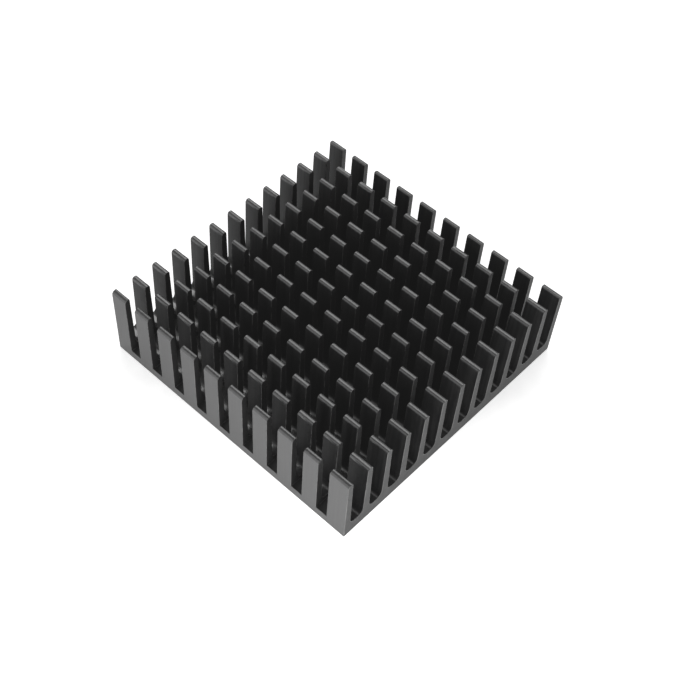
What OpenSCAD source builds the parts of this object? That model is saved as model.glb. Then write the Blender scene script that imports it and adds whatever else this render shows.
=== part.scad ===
// Pin fin heat sink: one piece of black anodised aluminium.
// A finned bar is extruded along X, then gang-sawn across its fins, along Y, which leaves
// rows of flat pins on a thin base. The flat underside is at z = 0, centred on the origin.

/* [Bar] */
// Length of the piece along the extrusion, X
length = 40; // [36:0.5:80]
// Width across the fins, Y
width = 40; // [37:0.5:60]
// Height from the flat underside to the fin tips, Z
height = 11; // [6:0.5:20]
// Thickness of the base under the valleys
floor_t = 2; // [1.6:0.1:4]

/* [Fins] */
// Number of fins side by side
fin_count = 13; // [4:1:14]
// Thickness of a fin at its tip
tip_t = 0.8; // [0.7:0.05:1.05]
// Thickness of a fin at the valley floor, before the fillets
root_t = 1.1; // [0.85:0.05:1.5]
// Radius on both edges of a fin tip
tip_r = 0.35; // [0.1:0.05:0.35]
// Radius of the fillets at the foot of a fin
root_r = 0.8; // [0.3:0.05:1]

/* [Saw slots] */
// Number of slots sawn across the fins
slot_count = 9; // [1:1:11]
// Width of one slot
slot_w = 1.75; // [1:0.05:2.5]
// Thickness of the base left under a slot
slot_floor_t = 1.3; // [0.8:0.1:1.9]
// Length of the pins at the -X end
first_pin = 2.45; // [1:0.05:4]
// Length of the pins at the +X end
last_pin = 2.9; // [1:0.05:4]

/* [Hidden] */
$fn = 32;
// How far a cutter runs past the face that it opens
past = 1;
// The end fins stand flush with the sides of the bar
fin_pitch = (width - tip_t) / (fin_count - 1);
// Lean of a fin's flank from upright
lean = atan((root_t - tip_t) / 2 / (height - floor_t));
// Half the width of a valley at its floor, between the flanks drawn down to it
half_valley = (fin_pitch - root_t) / 2;
// Offset from the valley's middle to the centre of a root fillet and of a tip radius
root_c = half_valley - root_r * (1 - sin(lean)) / cos(lean);
tip_c = half_valley + (height - floor_t - tip_r) * tan(lean) + tip_r / cos(lean);
// The slots share what the two end pins leave
slot_pitch = (length - first_pin - last_pin - slot_w) / max(1, slot_count - 1);

// One side of a valley: its flank, with the tip radius above and the root fillet below
module half_valley_outline() {
    difference() {
        polygon([
            [-past, floor_t],
            [root_c, floor_t],
            [root_c + root_r * cos(lean), floor_t + root_r * (1 - sin(lean))],
            [tip_c - tip_r * cos(lean), height - tip_r * (1 - sin(lean))],
            [tip_c, height],
            [tip_c, height + past],
            [-past, height + past],
        ]);
        translate([tip_c, height - tip_r]) circle(tip_r);
    }
    translate([root_c, floor_t + root_r]) circle(root_r);
}

// What the tip radius takes off an outer top edge of the bar, drawn for the +Y side
module outer_edge_outline() {
    translate([width / 2 - tip_r, height - tip_r]) difference() {
        square(tip_r + past);
        circle(tip_r);
    }
}

// End face of the extruded bar, drawn with Y across and Z up
module profile() {
    difference() {
        translate([-width / 2, 0]) square([width, height]);
        outer_edge_outline();
        mirror([1, 0]) outer_edge_outline();
        for (i = [0 : fin_count - 2]) translate([(i - (fin_count - 2) / 2) * fin_pitch, 0]) {
            half_valley_outline();
            mirror([1, 0]) half_valley_outline();
        }
    }
}

// The slots of one pass of the gang saw
module saw_slots() {
    for (i = [0 : slot_count - 1])
        translate([-length / 2 + first_pin + i * slot_pitch, -width / 2 - past, slot_floor_t])
            cube([slot_w, width + 2 * past, height]);
}

module heat_sink() {
    color([0.10, 0.10, 0.11]) difference() {
        translate([-length / 2, 0, 0]) rotate([90, 0, 90]) linear_extrude(length) profile();
        saw_slots();
    }
}

heat_sink();
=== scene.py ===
import math

import bpy
import bmesh
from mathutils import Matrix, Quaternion, Vector


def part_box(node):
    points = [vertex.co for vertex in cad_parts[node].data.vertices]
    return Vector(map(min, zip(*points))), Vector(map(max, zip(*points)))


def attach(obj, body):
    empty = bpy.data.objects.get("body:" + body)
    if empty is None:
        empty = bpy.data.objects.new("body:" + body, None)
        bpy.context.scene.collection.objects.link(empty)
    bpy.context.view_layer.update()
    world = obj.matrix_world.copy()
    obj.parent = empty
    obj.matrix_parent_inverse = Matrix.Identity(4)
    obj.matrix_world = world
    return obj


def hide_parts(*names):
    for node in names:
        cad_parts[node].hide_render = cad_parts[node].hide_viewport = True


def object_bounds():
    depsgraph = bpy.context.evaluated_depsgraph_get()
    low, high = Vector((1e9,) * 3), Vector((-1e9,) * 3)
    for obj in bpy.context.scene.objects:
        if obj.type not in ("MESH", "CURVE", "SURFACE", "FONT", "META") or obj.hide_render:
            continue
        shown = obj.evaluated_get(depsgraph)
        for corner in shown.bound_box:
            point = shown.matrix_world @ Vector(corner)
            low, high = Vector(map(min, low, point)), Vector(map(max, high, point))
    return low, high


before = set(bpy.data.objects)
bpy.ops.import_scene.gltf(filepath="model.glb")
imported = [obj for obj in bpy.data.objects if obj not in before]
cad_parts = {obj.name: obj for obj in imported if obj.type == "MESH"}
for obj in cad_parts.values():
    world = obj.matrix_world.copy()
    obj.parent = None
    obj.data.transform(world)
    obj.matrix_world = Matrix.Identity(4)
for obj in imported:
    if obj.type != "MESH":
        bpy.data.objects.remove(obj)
cad_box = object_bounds()
scene = bpy.context.scene
mm = 0.001


# ---- Camera ----
# Looks down on one corner of the sink from the side where the sawn fin ends and the outer
# fin meet, slightly rolled, from about four times the sink's length away.
camera_azimuth = math.radians(38.78)
camera_elevation = math.radians(51.96)
camera_roll = math.radians(5.16)
camera_distance = 151.07 * mm
camera_aim = Vector((4.24, -2.375, 5.5)) * mm
camera_lens = 61.57

camera_data = bpy.data.cameras.new("camera")
camera_data.sensor_width = 36
camera_data.lens = camera_lens
camera_data.clip_start = 0.01
camera_data.clip_end = 20
camera = bpy.data.objects.new("camera", camera_data)
scene.collection.objects.link(camera)
to_camera = Vector((
    math.sin(camera_azimuth) * math.cos(camera_elevation),
    -math.cos(camera_azimuth) * math.cos(camera_elevation),
    math.sin(camera_elevation),
))
camera.location = camera_aim + to_camera * camera_distance
upright = to_camera.to_track_quat("Z", "Y")
camera.rotation_euler = (upright @ Quaternion((0, 0, 1), camera_roll)).to_euler()
scene.camera = camera


# ---- Floor and light ----
# A wide white table, lit from below as well and most at its near right side, under one large
# soft lamp. The ceiling is bright over the back of the table and dims towards the near side.
# White cards stand low around the table, and the one behind it is in shade. A brighter and
# higher one stands at the near left. The lens lifts the blacks a little.
floor_size = 3.0
floor_gap = 0.02 * mm
floor_white = 0.9
glow_middle = 0.55
glow_slope = (16.0, -18.0, 0.0)
glow_least = 0.7
glow_most = 1.3
bright_side = (-0.25, 0.45, 0.86)
room_shades = ((0.00, 0.03), (0.62, 0.04), (0.80, 0.12), (0.90, 0.50), (1.00, 0.90))
card_top = (0.16, 0.34)
card_white = 1.1
card_shade = 0.35
card_fade = (-0.2, 0.6)
front_card_side = (-0.39, -0.80, 0.46)
front_card_edge = (0.93, 0.97)
front_card_white = 1.4
lamp_size = 0.8
lamp_place = (-0.50, 0.52, 1.08)
lamp_power = 4.0
lens_glare = 0.0075

bpy.ops.object.select_all(action="DESELECT")
bpy.ops.mesh.primitive_plane_add(size=floor_size, location=(0, 0, cad_box[0][2] - floor_gap))
floor = bpy.context.object
floor.name = "floor"
floor_paint = bpy.data.materials.new("table_white")
floor_paint.use_nodes = True
paint = floor_paint.node_tree.nodes["Principled BSDF"]
paint.inputs["Base Color"].default_value = (floor_white, floor_white, floor_white, 1)
paint.inputs["Roughness"].default_value = 0.9
paint.inputs["Specular IOR Level"].default_value = 0.1
paint.inputs["Emission Color"].default_value = (1, 1, 1, 1)
floor_nodes, floor_links = floor_paint.node_tree.nodes, floor_paint.node_tree.links
on_floor = floor_nodes.new("ShaderNodeTexCoord")
along = floor_nodes.new("ShaderNodeVectorMath")
along.operation = "DOT_PRODUCT"
along.inputs[1].default_value = glow_slope
floor_links.new(on_floor.outputs["Object"], along.inputs[0])
glow = floor_nodes.new("ShaderNodeMath")
glow.inputs[1].default_value = glow_middle
floor_links.new(along.outputs["Value"], glow.inputs[0])
kept = floor_nodes.new("ShaderNodeClamp")
kept.inputs["Min"].default_value = glow_least
kept.inputs["Max"].default_value = glow_most
floor_links.new(glow.outputs["Value"], kept.inputs["Value"])
floor_links.new(kept.outputs["Result"], paint.inputs["Emission Strength"])
floor.data.materials.append(floor_paint)

room = bpy.data.worlds.new("studio")
scene.world = room
room.use_nodes = True
nodes, links = room.node_tree.nodes, room.node_tree.links
direction = nodes.new("ShaderNodeTexCoord")
towards = nodes.new("ShaderNodeVectorMath")
towards.operation = "DOT_PRODUCT"
towards.inputs[1].default_value = bright_side
links.new(direction.outputs["Generated"], towards.inputs[0])
turn = nodes.new("ShaderNodeMapRange")
turn.inputs["From Min"].default_value = -1
turn.inputs["From Max"].default_value = 1
links.new(towards.outputs["Value"], turn.inputs["Value"])
shades = nodes.new("ShaderNodeValToRGB")
shades.color_ramp.interpolation = "EASE"
while len(shades.color_ramp.elements) < len(room_shades):
    shades.color_ramp.elements.new(0.5)
for stop, (position, shade) in zip(shades.color_ramp.elements, room_shades):
    stop.position = position
    stop.color = (shade, shade, shade, 1)
links.new(turn.outputs["Result"], shades.inputs["Fac"])
parts = nodes.new("ShaderNodeSeparateXYZ")
links.new(direction.outputs["Generated"], parts.inputs["Vector"])
cards = nodes.new("ShaderNodeMapRange")
cards.interpolation_type = "SMOOTHSTEP"
cards.inputs["From Min"].default_value = card_top[0]
cards.inputs["From Max"].default_value = card_top[1]
cards.inputs["To Min"].default_value = 1
cards.inputs["To Max"].default_value = 0
links.new(parts.outputs["Z"], cards.inputs["Value"])
behind = nodes.new("ShaderNodeMapRange")
behind.inputs["From Min"].default_value = card_fade[0]
behind.inputs["From Max"].default_value = card_fade[1]
behind.inputs["To Min"].default_value = card_white
behind.inputs["To Max"].default_value = card_shade
links.new(parts.outputs["Y"], behind.inputs["Value"])
card_light = nodes.new("ShaderNodeMath")
card_light.operation = "MULTIPLY"
links.new(cards.outputs["Result"], card_light.inputs[0])
links.new(behind.outputs["Result"], card_light.inputs[1])
brighter = nodes.new("ShaderNodeMath")
brighter.operation = "MAXIMUM"
links.new(shades.outputs["Color"], brighter.inputs[0])
links.new(card_light.outputs["Value"], brighter.inputs[1])
facing = nodes.new("ShaderNodeVectorMath")
facing.operation = "DOT_PRODUCT"
facing.inputs[1].default_value = front_card_side
links.new(direction.outputs["Generated"], facing.inputs[0])
front_card = nodes.new("ShaderNodeMapRange")
front_card.interpolation_type = "SMOOTHSTEP"
front_card.inputs["From Min"].default_value = front_card_edge[0]
front_card.inputs["From Max"].default_value = front_card_edge[1]
front_card.inputs["To Max"].default_value = front_card_white
links.new(facing.outputs["Value"], front_card.inputs["Value"])
brightest = nodes.new("ShaderNodeMath")
brightest.operation = "MAXIMUM"
links.new(brighter.outputs["Value"], brightest.inputs[0])
links.new(front_card.outputs["Result"], brightest.inputs[1])
links.new(brightest.outputs["Value"], nodes["Background"].inputs["Color"])

lamp_data = bpy.data.lights.new("soft_lamp", "AREA")
lamp_data.shape = "DISK"
lamp_data.size = lamp_size
lamp_data.energy = lamp_power
lamp = bpy.data.objects.new("soft_lamp", lamp_data)
lamp.location = lamp_place
lamp.rotation_euler = (-Vector(lamp_place)).to_track_quat("-Z", "Y").to_euler()
scene.collection.objects.link(lamp)
scene.view_settings.view_transform = "Standard"
scene.view_settings.use_curve_mapping = True
scene.view_settings.curve_mapping.black_level = (-lens_glare, -lens_glare, -lens_glare)
scene.view_settings.curve_mapping.update()


# ---- Heat sink ----
# One piece of black anodised aluminium. A finned bar is extruded along X with rounded tips
# and filleted roots, then gang-sawn along Y through the fins and a little into the base,
# which leaves square-edged pins.
fin_count = 13
tip_thickness = 0.8
root_thickness = 1.1
tip_radius = 0.35
outer_edge_radius = 0.55
root_radius = 0.8
base_thickness = 2.0
slot_count = 9
slot_width = 1.75
slot_floor = 1.3
first_pin = 2.45
last_pin = 2.9
sawn_edge = 0.05

low, high = (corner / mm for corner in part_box("heat_sink"))
length, width, height_top = high - low
fin_pitch = (width - tip_thickness) / (fin_count - 1)
fin_lines = [low.y + tip_thickness / 2 + i * fin_pitch for i in range(fin_count)]
slot_pitch = (length - first_pin - last_pin - slot_width) / (slot_count - 1)
slot_starts = [low.x + first_pin + i * slot_pitch for i in range(slot_count)]


def select(mesh_object, kind, wanted):
    """Selects the faces or edges of the object in edit mode for which wanted is true."""
    bpy.ops.mesh.select_all(action="DESELECT")
    bpy.ops.mesh.select_mode(type=kind)
    mesh = bmesh.from_edit_mesh(mesh_object.data)
    for item in mesh.faces if kind == "FACE" else mesh.edges:
        if wanted(item):
            item.select = True
    mesh.select_flush_mode()
    bmesh.update_edit_mesh(mesh_object.data)


def near(a, b, gap=1e-4):
    return abs(a - b) < gap


def in_a_slot(x):
    return any(start < x < start + slot_width for start in slot_starts)


def in_a_fin(y):
    return any(abs(y - line) < root_thickness / 2 for line in fin_lines)


bpy.ops.object.select_all(action="DESELECT")
bpy.ops.mesh.primitive_cube_add(
    size=1, location=(0, 0, slot_floor / 2), scale=(length, width, slot_floor))
sink = bpy.context.object
sink.name = "pin_fin_sink"
bpy.ops.object.transform_apply(location=True, rotation=True, scale=True)
bpy.ops.object.mode_set(mode="EDIT")

for start in slot_starts:
    for x in (start, start + slot_width):
        bpy.ops.mesh.select_all(action="SELECT")
        bpy.ops.mesh.bisect(plane_co=(x, 0, 0), plane_no=(1, 0, 0))
for line in fin_lines:
    for y in (line - root_thickness / 2, line + root_thickness / 2):
        if low.y < y < high.y:
            bpy.ops.mesh.select_all(action="SELECT")
            bpy.ops.mesh.bisect(plane_co=(0, y, 0), plane_no=(0, 1, 0))

# Between the slots the base stands up to its full thickness, and the fins stand on that.
select(sink, "FACE", lambda f: f.normal.z > 0.9 and not in_a_slot(f.calc_center_median().x))
bpy.ops.mesh.extrude_region_move(
    TRANSFORM_OT_translate={"value": (0, 0, base_thickness - slot_floor)})
select(sink, "FACE", lambda f: f.normal.z > 0.9 and near(f.calc_center_median().z, base_thickness)
       and in_a_fin(f.calc_center_median().y))
bpy.ops.mesh.extrude_region_move(
    TRANSFORM_OT_translate={"value": (0, 0, height_top - base_thickness)})

# Every fin thins towards its tip. The outer faces of the two end fins stay upright.
for i, line in enumerate(fin_lines):
    foot_low = max(line - root_thickness / 2, low.y)
    foot_high = min(line + root_thickness / 2, high.y)
    still = {0: low.y, fin_count - 1: high.y}.get(i, line)
    select(sink, "FACE", lambda f: near(f.calc_center_median().z, height_top)
           and foot_low < f.calc_center_median().y < foot_high)
    bpy.ops.transform.resize(value=(1, tip_thickness / (foot_high - foot_low), 1),
                             center_override=(0, still, height_top))

bpy.ops.mesh.select_all(action="SELECT")
bpy.ops.mesh.dissolve_limited(angle_limit=math.radians(0.1))

# The outer top edges of the bar are rounder, so the inner ones of those two fins are sharper.
for radius, distance in ((tip_radius, None), (outer_edge_radius, width / 2),
                         (tip_thickness - outer_edge_radius, width / 2 - tip_thickness)):
    select(sink, "EDGE", lambda e: all(near(v.co.z, height_top) for v in e.verts)
           and near(e.verts[0].co.y, e.verts[1].co.y)
           and (near(abs(e.verts[0].co.y), distance) if distance
                else abs(e.verts[0].co.y) < width / 2 - tip_thickness - 0.1))
    bpy.ops.mesh.bevel(offset=radius, segments=6, affect="EDGES")
select(sink, "EDGE", lambda e: all(near(v.co.z, base_thickness) for v in e.verts)
       and near(e.verts[0].co.y, e.verts[1].co.y) and not near(abs(e.verts[0].co.y), width / 2))
bpy.ops.mesh.bevel(offset=root_radius, segments=8, affect="EDGES")
bpy.ops.mesh.select_all(action="SELECT")
bpy.ops.mesh.remove_doubles(threshold=0.001)
bpy.ops.transform.resize(value=(mm, mm, mm), center_override=(0, 0, 0))
bpy.ops.object.mode_set(mode="OBJECT")

# The walls and floors of the slots and the two bar ends are sawn. The rest is extruded, and
# the tips and the bar's two sides, which get handled, are smoother than the valley walls.
sawn_slot, rubbed_slot, handled_slot, floor_slot = 1, 2, 3, 4
for face in sink.data.polygons:
    centre = face.center / mm
    on_slot_floor = near(centre.z, slot_floor, 0.01) and face.normal.z > 0.9
    on_valley_floor = centre.z < base_thickness + root_radius and face.normal.z > 0.8
    on_a_side = near(abs(centre.y), width / 2, 0.01)
    on_a_tip = centre.z > height_top - tip_radius
    if abs(face.normal.x) > 0.7 or on_slot_floor:
        face.material_index = sawn_slot
    elif on_a_side or on_a_tip:
        face.material_index = handled_slot
    elif on_valley_floor:
        face.material_index = floor_slot


def finish(name, black, gloss_index):
    """A new black anodised finish in the next material slot: its nodes and its shader."""
    material = bpy.data.materials.new(name)
    material.use_nodes = True
    tree = material.node_tree
    shader = tree.nodes["Principled BSDF"]
    shader.inputs["Base Color"].default_value = (black, black, black, 1)
    shader.inputs["IOR"].default_value = gloss_index
    sink.data.materials.append(material)
    return tree, shader


def object_axes(tree):
    """The object's own X, Y and Z, in metres."""
    place = tree.nodes.new("ShaderNodeTexCoord")
    split = tree.nodes.new("ShaderNodeSeparateXYZ")
    tree.links.new(place.outputs["Object"], split.inputs["Vector"])
    return split.outputs


def noise(tree, stretch, detail=3.0, grain=0.6, turned=(0, 0, 0)):
    """Noise on the object's own place, with its scale along X, Y and Z in 1/mm."""
    place = tree.nodes.new("ShaderNodeTexCoord")
    mapping = tree.nodes.new("ShaderNodeMapping")
    mapping.inputs["Scale"].default_value = [1000 * value for value in stretch]
    mapping.inputs["Rotation"].default_value = turned
    texture = tree.nodes.new("ShaderNodeTexNoise")
    texture.inputs["Scale"].default_value = 1
    texture.inputs["Detail"].default_value = detail
    texture.inputs["Roughness"].default_value = grain
    tree.links.new(place.outputs["Object"], mapping.inputs["Vector"])
    tree.links.new(mapping.outputs["Vector"], texture.inputs["Vector"])
    return texture.outputs["Fac"]


def spread(tree, value, low_end, high_end, darkest=0.3, lightest=0.7):
    """Spreads a pattern's values from darkest to lightest over low_end to high_end."""
    ranged = tree.nodes.new("ShaderNodeMapRange")
    for name, number in (("From Min", darkest), ("From Max", lightest),
                         ("To Min", low_end), ("To Max", high_end)):
        ranged.inputs[name].default_value = number
    tree.links.new(value, ranged.inputs["Value"])
    return ranged.outputs["Result"]


def add(tree, first, second, operation="ADD"):
    """Adds two patterns, or joins them by another operation."""
    total = tree.nodes.new("ShaderNodeMath")
    total.operation = operation
    for socket, value in zip(total.inputs, (first, second)):
        if isinstance(value, (int, float)):
            socket.default_value = value
        else:
            tree.links.new(value, socket)
    return total.outputs["Value"]


def dye(tree, shader, pattern, darkest, lightest):
    """Colours the finish from darkest to lightest by the pattern."""
    mix = tree.nodes.new("ShaderNodeMix")
    mix.data_type = "RGBA"
    mix.inputs["A"].default_value = (*darkest, 1)
    mix.inputs["B"].default_value = (*lightest, 1)
    tree.links.new(pattern, mix.inputs["Factor"])
    tree.links.new(mix.outputs["Result"], shader.inputs["Base Color"])


def bump(tree, shader, height, depth):
    """Raises the surface by the height pattern, where 1 is depth in mm."""
    node = tree.nodes.new("ShaderNodeBump")
    node.inputs["Distance"].default_value = depth * mm
    tree.links.new(height, node.inputs["Height"])
    tree.links.new(node.outputs["Normal"], shader.inputs["Normal"])


rub_grain = (3.0, 3.0, 0.08)
die_grain = (0.03, 4.0, 4.0)

# Valley walls: a matt dye with faint upright rub marks. The dye is darker than on the tips and
# sides, which is painted shade in the valleys.
tree, shader = finish("anodised_extruded_painted_shade", 0.020, 1.3)
rub_marks = noise(tree, rub_grain)
mottle = noise(tree, (0.35, 0.35, 0.35))
shine = add(tree, spread(tree, rub_marks, 0.00, 0.08), spread(tree, mottle, 0.42, 0.50))
tree.links.new(shine, shader.inputs["Roughness"])
bump(tree, shader, rub_marks, 0.010)
dye(tree, shader, add(tree, mottle, spread(tree, rub_marks, -0.5, 0.5)),
    (0.008, 0.008, 0.009), (0.032, 0.032, 0.032))

# Sawn faces: arcs that the teeth leave on the slot walls, and lines across the slot floors.
saw_radius = 30.0
teeth_across = 5.0
teeth_along = 0.25
tree, shader = finish("anodised_sawn", 0.026, 1.35)
axes = object_axes(tree)
above_floor = add(tree, add(tree, axes["Z"], slot_floor * mm, "SUBTRACT"), 0, "MAXIMUM")
below_top = add(tree, 2 * saw_radius * mm, above_floor, "SUBTRACT")
half_chord = add(tree, add(tree, below_top, above_floor, "MULTIPLY"), 0.5, "POWER")
join = tree.nodes.new("ShaderNodeCombineXYZ")
tree.links.new(add(tree, add(tree, axes["Y"], half_chord), teeth_across / mm, "MULTIPLY"),
               join.inputs["X"])
tree.links.new(add(tree, axes["X"], teeth_along / mm, "MULTIPLY"), join.inputs["Y"])
teeth = tree.nodes.new("ShaderNodeTexNoise")
teeth.inputs["Scale"].default_value = 1
teeth.inputs["Detail"].default_value = 2
tree.links.new(join.outputs["Vector"], teeth.inputs["Vector"])
mottle = noise(tree, (0.5, 0.5, 0.5))
shine = add(tree, spread(tree, teeth.outputs["Fac"], 0.0, 0.10), spread(tree, mottle, 0.40, 0.50))
tree.links.new(shine, shader.inputs["Roughness"])
bump(tree, shader, teeth.outputs["Fac"], 0.008)
dye(tree, shader, mottle, (0.014, 0.014, 0.014), (0.038, 0.038, 0.038))

# Sawn edges: the coating is thin there and rubbed grey in places.
tree, shader = finish("anodised_rubbed", 0.05, 1.7)
rubbed = spread(tree, noise(tree, (0.6, 0.6, 0.25), 4.0, 0.7), 0.0, 1.0, 0.42, 0.62)
dye(tree, shader, rubbed, (0.03, 0.03, 0.03), (0.16, 0.16, 0.157))
tree.links.new(spread(tree, rubbed, 0.22, 0.38, 0.0, 1.0), shader.inputs["Roughness"])
bump(tree, shader, noise(tree, (3.0, 3.0, 3.0)), 0.006)

# Tips and sides: smoother, with the die lines along X on the tips.
tip_start = height_top - tip_radius
tree, shader = finish("anodised_handled", 0.058, 1.65)
tips = spread(tree, object_axes(tree)["Z"], 0.0, 1.0, (tip_start - 0.1) * mm, tip_start * mm)
die_lines = noise(tree, die_grain)
rub_marks = noise(tree, rub_grain)
mottle = noise(tree, (0.15, 0.15, 0.15))
shine = add(tree, spread(tree, rub_marks, 0.00, 0.08), spread(tree, mottle, 0.44, 0.52))
shine = add(tree, shine, spread(tree, tips, 0.0, -0.31, 0.0, 1.0))
tree.links.new(shine, shader.inputs["Roughness"])
relief = add(tree, add(tree, die_lines, tips, "MULTIPLY"), spread(tree, rub_marks, 0.0, 0.2))
bump(tree, shader, relief, 0.020)
# This dye is lighter than the valley walls', whose darker dye is painted shade.
dye(tree, shader, add(tree, mottle, spread(tree, rub_marks, -0.3, 0.3)),
    (0.036, 0.036, 0.037), (0.082, 0.082, 0.082))

# Valley floors: drawn smoother than the walls, with the die lines along X.
tree, shader = finish("anodised_floor", 0.045, 1.8)
mottle = noise(tree, (0.35, 0.35, 0.35))
tree.links.new(spread(tree, mottle, 0.12, 0.24), shader.inputs["Roughness"])
bump(tree, shader, noise(tree, die_grain), 0.008)

# Every sawn edge is broken by hand, which makes a narrow strip of the rubbed finish.
edges = sink.modifiers.new("sawn_edges", "BEVEL")
edges.limit_method = "ANGLE"
edges.angle_limit = math.radians(40)
edges.width = sawn_edge * mm
edges.segments = 2
edges.harden_normals = True
edges.material = rubbed_slot
bpy.ops.object.shade_smooth_by_angle(angle=math.radians(35))
bpy.ops.object.modifier_apply(modifier="sawn_edges")

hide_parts("heat_sink")
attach(sink, "root")
